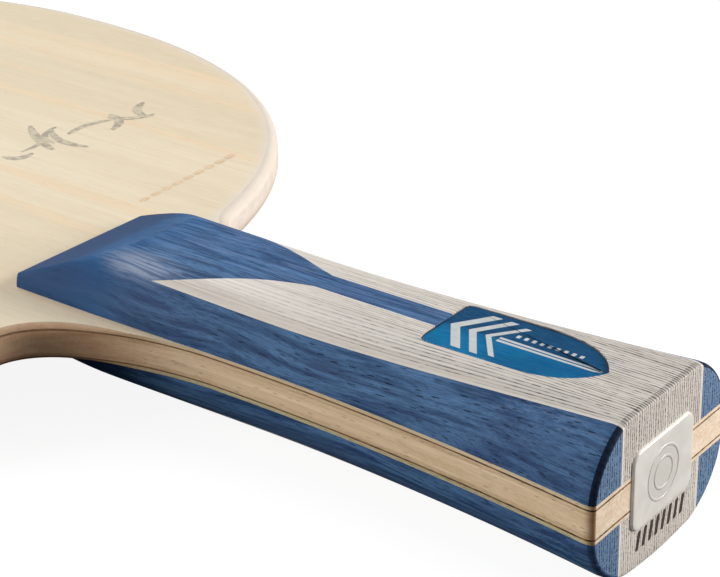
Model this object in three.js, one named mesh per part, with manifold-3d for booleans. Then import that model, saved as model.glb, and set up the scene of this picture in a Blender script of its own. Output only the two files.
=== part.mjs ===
// A bare table tennis blade: a seven-ply head and a flared handle with inlaid scales.
// Millimetres. X runs across the blade, +Y along it to the head's tip, +Z out of its front face.
// The origin is the middle of the whole object's box.
import * as THREE from 'three';
import { mergeVertices } from 'three/addons/utils/BufferGeometryUtils.js';
import Module from 'manifold-3d';

// ---- driving dimensions ----
const gripLength = 100;
const headLength = 157;
const headWidth = 157;
const handleThickness = 22.8;

// plies, from the front face to the middle
const faceVeneer = 0.5;
const fibreLayer = 0.25;
const innerVeneer = 0.6;
const coreThickness = 2.8;

// handle outline: half widths at the butt, at the waist and at the front
const buttHalfWidth = 16.4;
const waistHalfWidth = 12.8;
const frontHalfWidth = 13.5;
const waistFromButt = 52;
const flareExponent = 1.9;

// handle section: a flat top with corners that are quarters of a superellipse
const cornerWidthAtButt = 8.2;
const cornerWidthAtWaist = 9.3;
const cornerExponent = 1.72;
const buttChamferAlong = 1.6;
const buttChamferAcross = 0.8;

// handle front: a blunt edge, then a long bevel up to the flat top, hand-sanded a little
// lower on the right than on the left
const bluntEdge = 1.55;
const bevelLength = 18;
const bevelTilt = 0.032;

// scale pieces, measured from the shoulder where the handle meets the head
const centreHalfWidth = 9.75;
const wedgeTip = 23.7;
const wedgeEnd = 46.7;
const stemHalfWidth = 2;

// medallion, measured from the shoulder
const medallionStart = 66.8;
const medallionShoulder = 80;
const medallionEnd = 92;
const medallionHalfWidth = 6;
const medallionCorner = 1.3;
const medallionFloor = 10.5;
const foilThickness = 0.6;

// badge on the butt
const badgeWidth = 14.6;
const badgeHeight = 11.5;
const badgeCorner = 1.8;
const badgeThickness = 0.4;

// ---- values worked out from them ----
const plyStack = coreThickness + 2 * (faceVeneer + fibreLayer + innerVeneer);
const bandTop = plyStack / 2;
const handleTop = handleThickness / 2;
const tipY = (headLength + gripLength + badgeThickness) / 2;
const shoulderY = tipY - headLength;
const buttY = shoulderY - gripLength;
const farAway = 40;

const wasm = await Module();
wasm.setup();

// ---- solids ----
function toSolid(geometry) {
	const bare = geometry.index ? geometry.toNonIndexed() : geometry.clone();
	bare.deleteAttribute('normal');
	bare.deleteAttribute('uv');
	const merged = mergeVertices(bare, 1e-5);
	return new wasm.Manifold(new wasm.Mesh({
		numProp: 3,
		vertProperties: new Float32Array(merged.attributes.position.array),
		triVerts: new Uint32Array(merged.index.array),
	}));
}

function toGeometry(solid) {
	const mesh = solid.getMesh();
	const geometry = new THREE.BufferGeometry();
	geometry.setAttribute('position', new THREE.BufferAttribute(mesh.vertProperties, 3));
	geometry.setIndex(new THREE.BufferAttribute(mesh.triVerts, 1));
	geometry.computeVertexNormals();
	return geometry;
}

// A straight prism of an XY outline, from lowZ to highZ.
function prism(outline, lowZ, highZ) {
	const settings = { depth: highZ - lowZ, bevelEnabled: false, steps: 1 };
	const geometry = new THREE.ExtrudeGeometry(new THREE.Shape(outline), settings);
	geometry.translate(0, 0, lowZ);
	return geometry;
}

function box(lowX, highX, lowY, highY, lowZ, highZ) {
	const geometry = new THREE.BoxGeometry(highX - lowX, highY - lowY, highZ - lowZ);
	geometry.translate((lowX + highX) / 2, (lowY + highY) / 2, (lowZ + highZ) / 2);
	return toSolid(geometry);
}

function mirrored(points) {
	return points.map((point) => new THREE.Vector2(-point.x, point.y)).reverse();
}

// ---- blade outline ----
// Half width of the handle at a distance from the butt.
function handleHalfWidth(fromButt) {
	if (fromButt < waistFromButt) {
		const flare = Math.pow(1 - fromButt / waistFromButt, flareExponent);
		return waistHalfWidth + (buttHalfWidth - waistHalfWidth) * flare;
	}
	const along = (fromButt - waistFromButt) / (gripLength - waistFromButt);
	const swell = THREE.MathUtils.smoothstep(along, 0, 0.85);
	return waistHalfWidth + (frontHalfWidth - waistHalfWidth) * swell;
}

// Quarter of a superellipse about (0, centreY), as points from angle low to angle high.
function superellipse(halfWidth, height, exponent, centreY, low, high, steps) {
	const points = [];
	for (let i = 0; i <= steps; i++) {
		const angle = THREE.MathUtils.lerp(low, high, i / steps);
		const x = halfWidth * Math.pow(Math.max(Math.cos(angle), 0), 2 / exponent);
		const y = height * Math.pow(Math.sin(angle), 2 / exponent);
		points.push(new THREE.Vector2(x, centreY + y));
	}
	return points;
}

// The right side of the blade, from the butt round to the head's tip.
function bladeSide() {
	const widestFromShoulder = 74.5;
	const lowerDepth = 86.1;
	const lowerExponent = 2.34;
	const upperExponent = 1.94;
	const tipFlat = 2;
	const neckFromButt = 63.7;
	const wingX = 25;

	const points = [new THREE.Vector2(buttHalfWidth - buttChamferAcross, buttY)];
	const gripSteps = 16;
	for (let i = 0; i <= gripSteps; i++) {
		const fromButt = THREE.MathUtils.lerp(buttChamferAlong, neckFromButt, i / gripSteps);
		points.push(new THREE.Vector2(handleHalfWidth(fromButt), buttY + fromButt));
	}

	const widestY = shoulderY + widestFromShoulder;
	const wingShare = Math.pow(wingX / (headWidth / 2), lowerExponent / 2);
	const wingAngle = Math.acos(wingShare);
	const lower = superellipse(headWidth / 2, -lowerDepth, lowerExponent, widestY, wingAngle, 0, 20);
	const neck = new THREE.CubicBezierCurve(
		points[points.length - 1],
		new THREE.Vector2(13.9, shoulderY - 18.7),
		new THREE.Vector2(20.3, shoulderY - 10.3),
		lower[0],
	);
	points.push(...neck.getPoints(12).slice(1));
	points.push(...lower.slice(1));
	const upperHeight = headLength - widestFromShoulder;
	const upper = superellipse(headWidth / 2, upperHeight, upperExponent, widestY, 0, Math.PI / 2, 22);
	points.push(...upper.slice(1, -1));
	points.push(new THREE.Vector2(tipFlat, tipY));
	return points;
}

// A ply between two heights, with its faces in strips from the left side to the right.
function plyGeometry(side, lowZ, highZ) {
	const positions = [];
	for (const z of [lowZ, highZ]) {
		for (const { x, y } of side) {
			positions.push(x, y, z, -x, y, z);
		}
	}
	const indices = [];
	const quad = (a, b, c, d) => indices.push(a, b, c, a, c, d);
	const up = 2 * side.length;
	for (let right = 0; right < up - 2; right += 2) {
		const left = right + 1;
		const nextRight = right + 2;
		const nextLeft = right + 3;
		quad(up + left, up + right, up + nextRight, up + nextLeft);
		quad(right, left, nextLeft, nextRight);
		quad(right, nextRight, up + nextRight, up + right);
		quad(nextLeft, left, up + left, up + nextLeft);
	}
	quad(1, 0, up, up + 1);
	quad(up - 2, up - 1, 2 * up - 1, 2 * up - 2);
	const geometry = new THREE.BufferGeometry();
	geometry.setAttribute('position', new THREE.Float32BufferAttribute(positions, 3));
	geometry.setIndex(indices);
	const flat = geometry.toNonIndexed();
	flat.computeVertexNormals();
	return flat;
}

// ---- handle shape ----
// One half section of the handle, from its right edge on the plies over to its left edge.
function handleSection(fromButt, inset) {
	const cornerSteps = 5;
	const halfWidth = handleHalfWidth(fromButt) - inset;
	const height = handleTop - inset - bandTop;
	const nearWaist = Math.min(1, fromButt / waistFromButt);
	const corner = THREE.MathUtils.lerp(cornerWidthAtButt, cornerWidthAtWaist, nearWaist);
	const right = superellipse(corner, height, cornerExponent, bandTop, 0, Math.PI / 2, cornerSteps);
	for (const point of right) {
		point.x += halfWidth - corner;
	}
	return [...right, ...mirrored(right)];
}

// The whole of one scale, lofted through its sections, flat on the plies.
function scaleLoft() {
	const sections = [{ fromButt: 0, inset: buttChamferAcross }];
	const bevelStart = gripLength - bevelLength;
	const stations = 14;
	for (let i = 0; i <= stations; i++) {
		const fromButt = THREE.MathUtils.lerp(buttChamferAlong, bevelStart, i / stations);
		sections.push({ fromButt, inset: 0 });
	}
	sections.push({ fromButt: bevelStart + bevelLength / 2, inset: 0 });
	sections.push({ fromButt: gripLength, inset: 0 });
	const positions = [];
	let around = 0;
	for (const { fromButt, inset } of sections) {
		const section = handleSection(fromButt, inset);
		around = section.length;
		for (const point of section) {
			positions.push(point.x, buttY + fromButt, point.y);
		}
	}
	const indices = [];
	for (let row = 0; row < sections.length - 1; row++) {
		for (let i = 0; i < around; i++) {
			const a = row * around + i;
			const b = row * around + (i + 1) % around;
			indices.push(a, b + around, b, a, a + around, b + around);
		}
	}
	const last = (sections.length - 1) * around;
	for (let i = 1; i < around - 1; i++) {
		indices.push(0, i, i + 1);
		indices.push(last, last + i + 1, last + i);
	}
	const geometry = new THREE.BufferGeometry();
	geometry.setAttribute('position', new THREE.Float32BufferAttribute(positions, 3));
	geometry.setIndex(indices);
	return toSolid(geometry);
}

// Everything over the bevel at the handle's front, to be cut away.
function bevelCut() {
	const rise = handleTop - bandTop - bluntEdge;
	const slope = rise / bevelLength;
	const overshoot = 10;
	const outline = [
		new THREE.Vector2(overshoot, bandTop + bluntEdge - slope * overshoot),
		new THREE.Vector2(overshoot, farAway),
		new THREE.Vector2(-bevelLength - overshoot, farAway),
		new THREE.Vector2(-bevelLength - overshoot, bandTop + bluntEdge + slope * (bevelLength + overshoot)),
	];
	const settings = { depth: 2 * farAway, bevelEnabled: false, steps: 1 };
	const geometry = new THREE.ExtrudeGeometry(new THREE.Shape(outline), settings);
	const yzx = new THREE.Matrix4().makeBasis(
		new THREE.Vector3(0, 1, 0),
		new THREE.Vector3(0, 0, 1),
		new THREE.Vector3(1, 0, 0),
	);
	geometry.applyMatrix4(yzx);
	geometry.translate(-farAway, shoulderY, -(bandTop + bluntEdge));
	geometry.rotateY(Math.atan(bevelTilt));
	geometry.translate(0, 0, bandTop + bluntEdge);
	return toSolid(geometry);
}

// ---- outlines of the scale's pieces ----
// The nose with its stem: full width at the front, then a curve in to the narrow stem.
function noseOutline() {
	const curve = new THREE.CubicBezierCurve(
		new THREE.Vector2(centreHalfWidth, shoulderY - wedgeTip),
		new THREE.Vector2(7.45, shoulderY - 32.5),
		new THREE.Vector2(3.9, shoulderY - 39.5),
		new THREE.Vector2(stemHalfWidth, shoulderY - wedgeEnd),
	);
	const right = [
		new THREE.Vector2(centreHalfWidth, shoulderY + farAway),
		...curve.getPoints(12),
		new THREE.Vector2(stemHalfWidth, shoulderY - medallionStart),
	];
	return [...right, ...mirrored(right)];
}

// The medallion: a flat front end with round corners, straight sides and a pointed arch.
function medallionOutline() {
	const inner = medallionHalfWidth - medallionCorner;
	const front = shoulderY - medallionStart;
	const corner = [];
	const steps = 5;
	for (let i = 0; i <= steps; i++) {
		const angle = (Math.PI / 2) * (1 - i / steps);
		const x = inner + medallionCorner * Math.cos(angle);
		const y = front - medallionCorner + medallionCorner * Math.sin(angle);
		corner.push(new THREE.Vector2(x, y));
	}
	const arch = new THREE.CubicBezierCurve(
		new THREE.Vector2(medallionHalfWidth, shoulderY - medallionShoulder),
		new THREE.Vector2(medallionHalfWidth, shoulderY - 86.5),
		new THREE.Vector2(4, shoulderY - 90),
		new THREE.Vector2(0, shoulderY - medallionEnd),
	);
	const right = [...corner, ...arch.getPoints(10)];
	return [...right, ...mirrored(right).slice(1)];
}

function badgeOutline() {
	const shape = [];
	const steps = 5;
	const centres = [[1, 1], [-1, 1], [-1, -1], [1, -1]];
	centres.forEach(([signX, signZ], quarter) => {
		for (let i = 0; i <= steps; i++) {
			const angle = (Math.PI / 2) * (quarter + i / steps);
			const x = signX * (badgeWidth / 2 - badgeCorner) + badgeCorner * Math.cos(angle);
			const z = signZ * (badgeHeight / 2 - badgeCorner) + badgeCorner * Math.sin(angle);
			shape.push(new THREE.Vector2(x, z));
		}
	});
	return shape;
}

// ---- materials ----
function material(color, roughness, metalness = 0) {
	return new THREE.MeshStandardMaterial({ color, roughness, metalness });
}

const paleWood = material(0xead6b4, 0.6);
const fibre = material(0x6b5a3a, 0.5);
const tanWood = material(0xcfb083, 0.7);
const blueWood = material(0x34508a, 0.5);
const greyWood = material(0xc4bfb5, 0.6);
const blueFoil = material(0x11629b, 0.25, 0.8);
const clearLens = new THREE.MeshStandardMaterial({ color: 0xe8eef2, roughness: 0.1, transparent: true, opacity: 0.3 });
const badgePlastic = material(0xd2cec6, 0.3);

// ---- assembly ----
const group = new THREE.Group();

function add(name, geometry, look) {
	const mesh = new THREE.Mesh(geometry, look);
	mesh.name = name;
	group.add(mesh);
	return mesh;
}

// The seven plies, glued face to face, from the front down.
function addPlies() {
	const side = bladeSide();
	const plies = [
		['front_face_veneer', faceVeneer, paleWood],
		['front_fibre_layer', fibreLayer, fibre],
		['front_inner_veneer', innerVeneer, tanWood],
		['core', coreThickness, tanWood],
		['back_inner_veneer', innerVeneer, tanWood],
		['back_fibre_layer', fibreLayer, fibre],
		['back_face_veneer', faceVeneer, paleWood],
	];
	let top = bandTop;
	for (const [name, thickness, look] of plies) {
		add(name, plyGeometry(side, top - thickness, top), look);
		top -= thickness;
	}
}

// The four pieces of one scale on the front side; the back's are the same, turned over.
function scalePieces() {
	const whole = scaleLoft().subtract(bevelCut());
	const low = buttY - farAway;
	const high = shoulderY + farAway;
	const centre = whole.intersect(box(-centreHalfWidth, centreHalfWidth, low, high, 0, farAway));
	const nose = toSolid(prism(noseOutline(), 0, farAway));
	return {
		left_strip: whole.intersect(box(-farAway, -centreHalfWidth, low, high, 0, farAway)),
		right_strip: whole.intersect(box(centreHalfWidth, farAway, low, high, 0, farAway)),
		nose_inlay: centre.intersect(nose),
		centre_block: centre.subtract(nose),
	};
}

function addScale(side, pieces, turnedOver) {
	const looks = {
		left_strip: blueWood,
		right_strip: blueWood,
		nose_inlay: blueWood,
		centre_block: greyWood,
	};
	for (const [name, solid] of Object.entries(pieces)) {
		const geometry = toGeometry(turnedOver ? solid.mirror([0, 0, 1]) : solid);
		add(`${side}_${name}`, geometry, looks[name]);
	}
}

// The medallion lies in a recess of the front centre block: a foil, and a clear lens over it
// that follows the handle's top.
function addMedallion(pieces) {
	const outline = medallionOutline();
	const foilTop = medallionFloor + foilThickness;
	const recess = toSolid(prism(outline, medallionFloor, farAway));
	const lens = scaleLoft().intersect(toSolid(prism(outline, foilTop, farAway)));
	pieces.centre_block = pieces.centre_block.subtract(recess);
	add('medallion_foil', prism(outline, medallionFloor, foilTop), blueFoil);
	add('medallion_lens', toGeometry(lens), clearLens);
}

function addBadge() {
	const mesh = add('butt_badge', prism(badgeOutline(), 0, badgeThickness), badgePlastic);
	mesh.rotation.x = Math.PI / 2;
	mesh.position.y = buttY;
}

addPlies();
const frontPieces = scalePieces();
addScale('back', frontPieces, true);
addMedallion(frontPieces);
addScale('front', frontPieces, false);
addBadge();

export default group;
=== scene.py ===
"""The looks of a bare table tennis blade: seven plies, an inlaid flared handle, a medallion and a badge.

Everything is in metres, in the frame's own axes: X across the blade, +Y to the head's tip, +Z out of
the front face. "Along" is measured from the butt, and "past" from the shoulder towards the butt.
"""

import math

import bpy
import numpy as np
from mathutils import Matrix, Vector


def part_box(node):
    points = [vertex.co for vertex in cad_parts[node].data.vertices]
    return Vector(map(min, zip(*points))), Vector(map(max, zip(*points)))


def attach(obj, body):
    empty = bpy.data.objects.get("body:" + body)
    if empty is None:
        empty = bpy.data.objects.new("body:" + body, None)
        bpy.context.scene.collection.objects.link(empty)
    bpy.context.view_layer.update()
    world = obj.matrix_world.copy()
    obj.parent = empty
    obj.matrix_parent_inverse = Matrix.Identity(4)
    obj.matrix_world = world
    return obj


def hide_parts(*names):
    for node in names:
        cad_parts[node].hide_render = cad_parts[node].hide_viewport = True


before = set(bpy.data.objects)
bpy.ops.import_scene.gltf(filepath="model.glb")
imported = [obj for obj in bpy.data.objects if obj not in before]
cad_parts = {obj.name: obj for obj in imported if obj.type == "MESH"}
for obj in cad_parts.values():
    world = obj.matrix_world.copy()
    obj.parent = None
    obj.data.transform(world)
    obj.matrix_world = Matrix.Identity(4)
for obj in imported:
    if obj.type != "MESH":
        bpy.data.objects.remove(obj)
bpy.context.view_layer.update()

MM = 0.001

# ---- sizes read off the frame ----
core_low, core_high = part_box("core")
veneer_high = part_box("front_face_veneer")[1]
strip_low, strip_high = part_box("front_right_strip")
nose_low, nose_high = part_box("front_nose_inlay")
foil_low, foil_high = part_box("medallion_foil")
badge_low, badge_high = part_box("butt_badge")

BUTT_Y = core_low[1]
TIP_Y = core_high[1]
SHOULDER_Y = nose_high[1]
GRIP = SHOULDER_Y - BUTT_Y
HEAD_HALF_WIDTH = core_high[0]
BAND_TOP = veneer_high[2]
HANDLE_TOP = nose_high[2]
BUTT_HALF_WIDTH = strip_high[0]
CENTRE_HALF_WIDTH = strip_low[0]
STEM_END_Y = nose_low[1]
MEDALLION_HALF_WIDTH = foil_high[0]
MEDALLION_TIP_Y = foil_low[1]
MEDALLION_FRONT_Y = foil_high[1]
FOIL_TOP = foil_high[2]
RECESS_FLOOR = foil_low[2]

# ---- shape of the head and the handle, as in the design ----
WIDEST_FROM_SHOULDER = 74.5 * MM
LOWER_DEPTH = 86.1 * MM
LOWER_EXPONENT = 2.34
UPPER_EXPONENT = 1.94
WAIST_HALF_WIDTH = 12.8 * MM
FRONT_HALF_WIDTH = 13.5 * MM
WAIST_ALONG = 52 * MM
FLARE_EXPONENT = 1.9
SWELL_SHARE = 0.85
CORNER_AT_BUTT = 8.2 * MM
CORNER_AT_WAIST = 9.3 * MM
CORNER_EXPONENT = 1.72
CHAMFER_ALONG = 1.6 * MM
CHAMFER_ACROSS = 0.8 * MM
CHAMFER_ON_TOP = 0.35 * MM
EDGE_STATIONS = np.array([0, 0.04, 0.12, 0.3, 0.6, 0.8, 1.6]) * MM
FIRST_PLAIN_STATION = 2.4 * MM
SHADED_EDGE_ROWS = 5
SHADED_EDGE_LENGTH = 1.5 * MM
BLUNT_EDGE = 1.55 * MM
BEVEL_LENGTH = 18 * MM
BEVEL_TILT = 0.032
CREST_BLEND = 0.5 * MM
FRONT_CORNER_RADIUS = 0.35 * MM
FRONT_EDGE_RADIUS = 0.25 * MM
BACK_CROWN = 0.65 * MM
BACK_CROWN_HALF_WIDTH = 11.5 * MM
WEDGE_TIP_PAST = 23.7 * MM
WEDGE_END_PAST = 46.7 * MM
STEM_HALF_WIDTH = 2 * MM


# ---- small helpers ----
SHARP_ANGLE = math.radians(35)


def smoothstep(t):
    t = np.clip(t, 0, 1)
    return t * t * (3 - 2 * t)


def smooth_min(a, b, reach):
    """The lower of two heights, with the crease between them rounded over the reach."""
    share = np.clip(0.5 + 0.5 * (b - a) / reach, 0, 1)
    return b + (a - b) * share - reach * share * (1 - share)


def bezier(points, steps):
    """A cubic Bezier curve through four control points, as an array of points."""
    a, b, c, d = (np.array(point, float) for point in points)
    t = np.linspace(0, 1, steps + 1)[:, None]
    return a * (1 - t) ** 3 + 3 * b * t * (1 - t) ** 2 + 3 * c * t * t * (1 - t) + d * t ** 3


def mirror_x(points):
    """The same points on the other side of the middle, in the opposite order."""
    return points[::-1] * np.array([-1, 1])


def make_object(name, vertices, faces, materials, face_slots=None):
    mesh = bpy.data.meshes.new(name)
    mesh.from_pydata([tuple(v) for v in vertices], [], [tuple(f) for f in faces])
    for material in materials:
        mesh.materials.append(material)
    if face_slots is not None:
        mesh.polygons.foreach_set("material_index", list(face_slots))
    finish_mesh(mesh)
    piece = bpy.data.objects.new(name, mesh)
    bpy.context.scene.collection.objects.link(piece)
    return piece


def finish_mesh(mesh):
    mesh.polygons.foreach_set("use_smooth", [True] * len(mesh.polygons))
    mesh.set_sharp_from_angle(angle=SHARP_ANGLE)
    mesh.update()


def loft(rings):
    """Closed rings of equal length joined by quads, with a cap on each end."""
    count = len(rings[0])
    vertices = np.concatenate(rings)
    faces = [tuple(range(count))[::-1]]
    for row in range(len(rings) - 1):
        for i in range(count):
            a = row * count + i
            b = row * count + (i + 1) % count
            faces.append((a, b, b + count, a + count))
    faces.append(tuple(range((len(rings) - 1) * count, len(rings) * count)))
    return vertices, faces


def at_height(outline, z):
    """An XY outline at one height, or with a height for each of its points."""
    return np.column_stack([outline, np.broadcast_to(z, len(outline))])


def joined(parts):
    """Several pairs of vertices and faces as one pair."""
    vertices = []
    faces = []
    start = 0
    for part_vertices, part_faces in parts:
        vertices.append(part_vertices)
        faces += [tuple(start + i for i in face) for face in part_faces]
        start += len(part_vertices)
    return np.concatenate(vertices), faces


def turned_over(vertices, faces):
    """The same solid on the back of the blade."""
    return vertices * np.array([1, 1, -1]), [face[::-1] for face in faces]


def prism(outline, low, high):
    """A straight prism of an XY outline that runs anticlockwise."""
    return loft([at_height(outline, low), at_height(outline, high)])


def combine(piece, vertices, faces, operation):
    """Cuts or intersects a piece with another solid, exactly."""
    tool = make_object("tool", vertices, faces, [])
    modifier = piece.modifiers.new("cut", "BOOLEAN")
    modifier.operation = operation
    modifier.solver = "EXACT"
    modifier.object = tool
    evaluated = piece.evaluated_get(bpy.context.evaluated_depsgraph_get())
    mesh = bpy.data.meshes.new_from_object(evaluated)
    piece.modifiers.clear()
    old = piece.data
    piece.data = mesh
    mesh.name = piece.name
    finish_mesh(mesh)
    tool_mesh = tool.data
    bpy.data.objects.remove(tool)
    bpy.data.meshes.remove(tool_mesh)
    bpy.data.meshes.remove(old)


def stand_for(piece, node):
    """Puts a piece in the place of a CAD node."""
    piece.name = f"{node}_made"
    piece.data.name = piece.name
    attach(piece, "root")
    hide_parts(node)


def add_trim(piece):
    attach(piece, "root")


# ---- materials ----
class Look:
    """A material under construction, with short calls for the nodes that it needs."""

    def __init__(self, name, roughness=0.5, metallic=0.0, **sockets):
        self.material = bpy.data.materials.new(name)
        self.material.use_nodes = True
        self.tree = self.material.node_tree
        self.shader = self.tree.nodes["Principled BSDF"]
        self.shader.inputs["Roughness"].default_value = roughness
        self.shader.inputs["Metallic"].default_value = metallic
        for socket, value in sockets.items():
            self.shader.inputs[socket.replace("_", " ")].default_value = value
        self.coordinates = self.tree.nodes.new("ShaderNodeTexCoord").outputs["Object"]

    def link(self, value, socket):
        if isinstance(value, bpy.types.NodeSocket):
            self.tree.links.new(value, socket)
        else:
            socket.default_value = value

    def math(self, operation, a, b=0.0, c=0.0):
        node = self.tree.nodes.new("ShaderNodeMath")
        node.operation = operation
        for value, socket in zip((a, b, c), node.inputs):
            self.link(value, socket)
        return node.outputs[0]

    def axes(self):
        node = self.tree.nodes.new("ShaderNodeSeparateXYZ")
        self.link(self.coordinates, node.inputs[0])
        return node.outputs

    def stretched(self, across, along, through):
        """Object coordinates scaled so that one unit is the given length along each axis."""
        node = self.tree.nodes.new("ShaderNodeMapping")
        self.link(self.coordinates, node.inputs["Vector"])
        node.inputs["Scale"].default_value = (1 / across, 1 / along, 1 / through)
        return node.outputs[0]

    def noise(self, vector, detail=2.0, roughness=0.5, distortion=0.0):
        node = self.tree.nodes.new("ShaderNodeTexNoise")
        self.link(vector, node.inputs["Vector"])
        node.inputs["Scale"].default_value = 1.0
        node.inputs["Detail"].default_value = detail
        node.inputs["Roughness"].default_value = roughness
        node.inputs["Distortion"].default_value = distortion
        return node.outputs["Fac"]

    def wavy(self, across, along, through):
        """Stretched coordinates that swing slowly from side to side along the grain."""
        swing = self.tree.nodes.new("ShaderNodeTexNoise")
        self.link(self.stretched(10 * MM, 34 * MM, 10 * MM), swing.inputs["Vector"])
        swing.inputs["Scale"].default_value = 1.0
        swing.inputs["Detail"].default_value = 1.0
        offset = self.tree.nodes.new("ShaderNodeVectorMath")
        offset.operation = "MULTIPLY_ADD"
        self.link(swing.outputs["Color"], offset.inputs[0])
        offset.inputs[1].default_value = (3.5 * MM / across, 0, 6 * MM / through)
        self.link(self.stretched(across, along, through), offset.inputs[2])
        return offset.outputs[0]

    def lines(self, pitch, wander):
        """Distance, in pitches, from the nearest of a row of lines across X that wander slowly."""
        drift = self.noise(self.stretched(1.7 * MM, 70 * MM, 30 * MM), detail=1)
        shifted = self.math("MULTIPLY_ADD", drift, 4 * wander, self.axes()[0])
        return self.math("PINGPONG", self.math("DIVIDE", shifted, pitch), 0.5)

    def cells(self, vector):
        """Distance from the nearest of scattered points, for pores."""
        node = self.tree.nodes.new("ShaderNodeTexVoronoi")
        self.link(vector, node.inputs["Vector"])
        node.inputs["Scale"].default_value = 1.0
        node.inputs["Randomness"].default_value = 1.0
        return node.outputs["Distance"]

    def patch(self, centre, reach, low, high):
        """1 in an oval patch round a point, falling to 0 outside it."""
        node = self.tree.nodes.new("ShaderNodeVectorMath")
        node.operation = "DISTANCE"
        self.link(self.stretched(*reach), node.inputs[0])
        node.inputs[1].default_value = [c / r for c, r in zip(centre, reach)]
        return self.ramp(node.outputs["Value"], low, high, 1.0, 0.0)

    def sealed_and_lit_rim(self):
        """1 on the head's rim, where it is sanded and sealed and where its pale tone also paints the
        lamp's highlight, and 0 on the handle and on the left wing, which lies in shade.
        """
        x, y = self.axes()[:2]
        return self.ramp(self.math("MULTIPLY_ADD", x, 0.8, y), SHOULDER_Y - 6 * MM, SHOULDER_Y + 12 * MM)

    def near_outline(self, low, high):
        """0 well inside the head and 1 close to its lower outline, which is a superellipse."""
        x, y = self.axes()[:2]
        across = self.math("ABSOLUTE", self.math("DIVIDE", x, HEAD_HALF_WIDTH))
        below = self.math("ABSOLUTE", self.math("SUBTRACT", y, SHOULDER_Y + WIDEST_FROM_SHOULDER))
        squares = (
            self.math("POWER", across, LOWER_EXPONENT),
            self.math("POWER", self.math("DIVIDE", below, LOWER_DEPTH), LOWER_EXPONENT),
        )
        return self.ramp(self.math("ADD", *squares), low, high)

    def ramp(self, value, low, high, to_low=0.0, to_high=1.0):
        """The value mapped from one range to another, smoothly, and held at its ends."""
        node = self.tree.nodes.new("ShaderNodeMapRange")
        node.interpolation_type = "SMOOTHSTEP"
        self.link(value, node.inputs[0])
        for number, socket in zip((low, high, to_low, to_high), list(node.inputs)[1:5]):
            socket.default_value = number
        return node.outputs[0]

    def mix(self, share, first, second):
        node = self.tree.nodes.new("ShaderNodeMix")
        node.data_type = "RGBA"
        self.link(share, node.inputs[0])
        self.link(first, node.inputs[6])
        self.link(second, node.inputs[7])
        return node.outputs[2]

    def colour(self, value):
        self.link(value, self.shader.inputs["Base Color"])

    def roughness(self, value):
        self.link(value, self.shader.inputs["Roughness"])

    def bump(self, height, distance, strength=1.0):
        node = self.tree.nodes.new("ShaderNodeBump")
        node.inputs["Strength"].default_value = strength
        node.inputs["Distance"].default_value = distance
        self.link(height, node.inputs["Height"])
        self.link(node.outputs[0], self.shader.inputs["Normal"])


def srgb(red, green, blue):
    """A colour given as it looks on a screen, from 0 to 255, as a linear one."""
    channels = [c / 255 for c in (red, green, blue)]
    return [c / 12.92 if c <= 0.04045 else ((c + 0.055) / 1.055) ** 2.4 for c in channels] + [1.0]


def pale_veneer():
    look = Look("pale_veneer", roughness=0.5)
    broad = look.noise(look.stretched(11 * MM, 230 * MM, 11 * MM), detail=3, distortion=0.3)
    warm = look.noise(look.stretched(5 * MM, 120 * MM, 5 * MM), detail=3, distortion=0.5)
    fine = look.noise(look.stretched(0.9 * MM, 45 * MM, 0.9 * MM), detail=4)
    fibres = look.noise(look.stretched(0.16 * MM, 5 * MM, 0.16 * MM), detail=2)
    pores = look.cells(look.stretched(0.5 * MM, 4.5 * MM, 0.5 * MM))
    tone = look.mix(look.ramp(broad, 0.35, 0.66), srgb(221, 203, 172), srgb(233, 216, 187))
    tone = look.mix(look.ramp(warm, 0.52, 0.7, 0.0, 0.8), tone, srgb(235, 206, 170))
    tone = look.mix(look.ramp(fine, 0.35, 0.75, 0.0, 0.4), tone, srgb(216, 196, 162))
    tone = look.mix(look.ramp(fibres, 0.35, 0.7, 0.0, 0.3), tone, srgb(240, 226, 200))
    tone = look.mix(look.ramp(pores, 0.08, 0.2, 0.25, 0.0), tone, srgb(186, 156, 120))
    # Paler near the head's outline: the sealed rim, which also paints the highlight on its rounded edge.
    sealed = look.math("MULTIPLY", look.near_outline(0.9, 0.985), look.sealed_and_lit_rim())
    look.colour(look.mix(look.math("MULTIPLY", sealed, 0.8), tone, srgb(228, 217, 203)))
    look.roughness(look.ramp(fibres, 0.3, 0.7, 0.45, 0.58))
    look.bump(look.math("ADD", fibres, look.ramp(pores, 0.05, 0.2, -0.6, 0.0)), 0.02 * MM, 0.5)
    return look.material


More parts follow.
